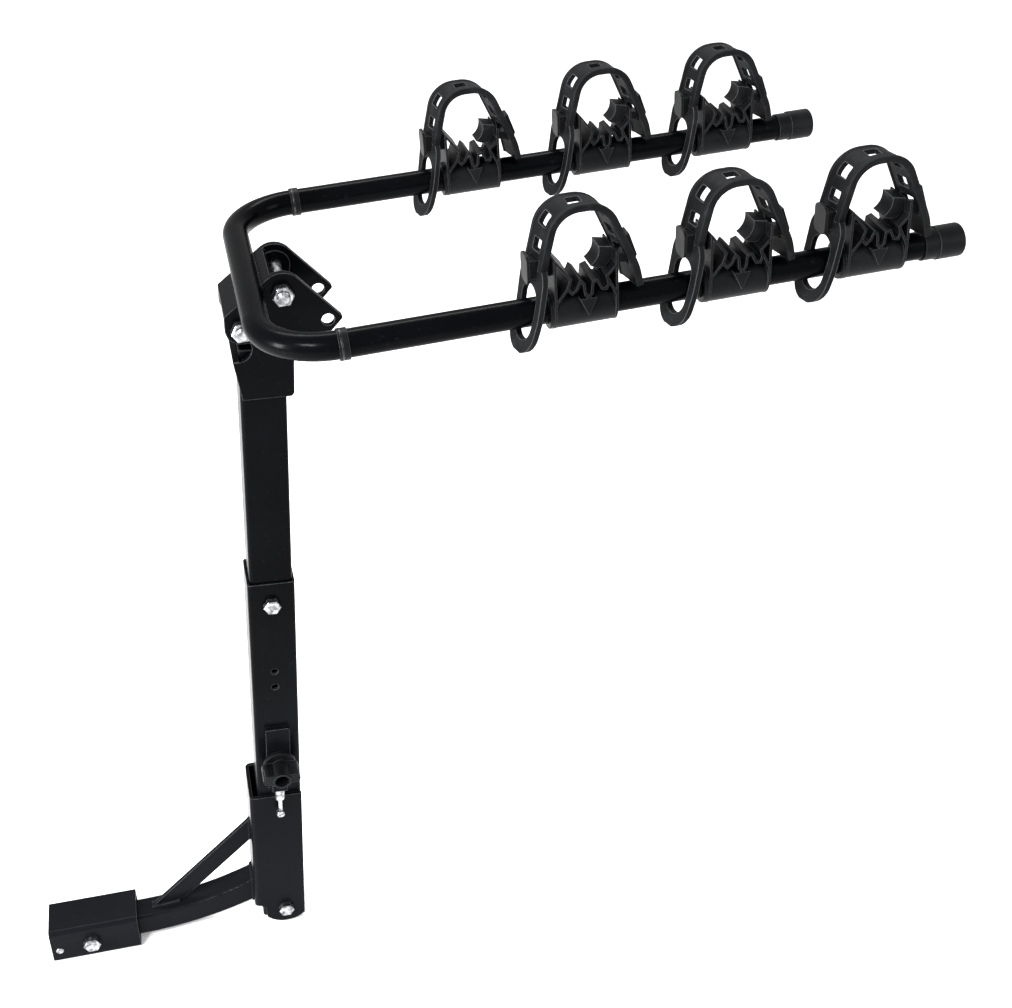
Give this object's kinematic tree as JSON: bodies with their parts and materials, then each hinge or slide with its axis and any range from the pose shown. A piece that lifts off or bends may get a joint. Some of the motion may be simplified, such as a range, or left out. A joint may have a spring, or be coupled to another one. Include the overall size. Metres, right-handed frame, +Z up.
{
  "type": "hitch mounted bike rack",
  "caption": "Folding hitch mounted bike rack with a tilting two part square mast, a U shaped tube for arms, and padded cradles with rubber ladder straps.",
  "frame": {"origin": "centre of the hitch sleeve's open end", "axes": "+X rearward along the arms, +Y towards the side without the knob, +Z up"},
  "size_m": [0.9393, 0.362, 1.001],
  "materials": {
    "powder_coat": "satin powder coat",
    "zinc": "bright zinc plate",
    "plastic": "fine matte grain",
    "rubber": "dull moulded rubber"
  },
  "bodies": {
    "base": {"hitch_sleeve": "powder_coat", "sleeve_shims": "powder_coat", "shank_tube": "powder_coat", "brace": "powder_coat", "hitch_bolt": "zinc", "hitch_nut": "zinc", "sleeve_rivet": "zinc", "pivot_channel": "powder_coat", "tilt_bolt": "zinc", "tilt_nut": "zinc"},
    "mast": {"lower_mast": "powder_coat", "upper_mast": "powder_coat", "mast_bolt": "zinc", "mast_nut": "zinc", "latch_plate": "powder_coat", "lock_barrel": "zinc", "head_bracket": "powder_coat"},
    "knob": {"wing_knob": "plastic", "knob_screw": "zinc"},
    "lock_rod": {"lock_rod": "zinc"},
    "arms": {"arm_bracket": "powder_coat", "u_bar": "powder_coat", "arm_pivot_bolt": "zinc", "arm_lock_bolt": "zinc", "arm_pivot_nut": "zinc", "arm_lock_nut": "zinc", "end_cap_near": "plastic", "end_cap_far": "plastic", "arm_collars": "plastic", "collar_rings": "zinc"},
    "cradle_near_1": {"cradle_near_1": "plastic", "tube_pad_near_1": "rubber", "strap_near_1": "rubber"},
    "cradle_near_2": {"cradle_near_2": "plastic", "tube_pad_near_2": "rubber", "strap_near_2": "rubber"},
    "cradle_near_3": {"cradle_near_3": "plastic", "tube_pad_near_3": "rubber", "strap_near_3": "rubber"},
    "cradle_far_1": {"cradle_far_1": "plastic", "tube_pad_far_1": "rubber", "strap_far_1": "rubber"},
    "cradle_far_2": {"cradle_far_2": "plastic", "tube_pad_far_2": "rubber", "strap_far_2": "rubber"},
    "cradle_far_3": {"cradle_far_3": "plastic", "tube_pad_far_3": "rubber", "strap_far_3": "rubber"}
  },
  "joints": [
    {"name": "mast_tilt", "type": "hinge", "parent": "base", "child": "mast", "pos_m": [0.2818, 0, 0.005], "axis": [0, 1, 0], "range_deg": [0, 80]},
    {"name": "arm_fold", "type": "hinge", "parent": "mast", "child": "arms", "pos_m": [0.33447, 0, 0.83734], "axis": [0, 1, 0], "range_deg": [0, 103]},
    {"name": "knob_turn", "type": "hinge", "parent": "mast", "child": "knob", "pos_m": [0.29039, -0.045, 0.24785], "axis": [0, 1, 0], "continuous": true},
    {"name": "lock_rod_lift", "type": "slide", "parent": "mast", "child": "lock_rod", "axis": [0.0427, 0, 0.9991], "range_m": [0, 0.015], "stiffness_N_per_m": 200, "springref_m": -0.01},
    {"name": "cradle_near_1_turn", "type": "hinge", "parent": "arms", "child": "cradle_near_1", "pos_m": [0.57934, -0.16, 0.85929], "axis": [0.9975, 0, 0.0706], "range_deg": [-25, 25]},
    {"name": "cradle_near_2_turn", "type": "hinge", "parent": "arms", "child": "cradle_near_2", "pos_m": [0.71849, -0.16, 0.86914], "axis": [0.9975, 0, 0.0706], "range_deg": [-25, 25]},
    {"name": "cradle_near_3_turn", "type": "hinge", "parent": "arms", "child": "cradle_near_3", "pos_m": [0.84766, -0.16, 0.87829], "axis": [0.9975, 0, 0.0706], "range_deg": [-25, 25]},
    {"name": "cradle_far_1_turn", "type": "hinge", "parent": "arms", "child": "cradle_far_1", "pos_m": [0.55639, 0.16, 0.85766], "axis": [0.9975, 0, 0.0706], "range_deg": [-25, 25]},
    {"name": "cradle_far_2_turn", "type": "hinge", "parent": "arms", "child": "cradle_far_2", "pos_m": [0.69904, 0.16, 0.86776], "axis": [0.9975, 0, 0.0706], "range_deg": [-25, 25]},
    {"name": "cradle_far_3_turn", "type": "hinge", "parent": "arms", "child": "cradle_far_3", "pos_m": [0.8347, 0.16, 0.87737], "axis": [0.9975, 0, 0.0706], "range_deg": [-25, 25]}
  ]
}
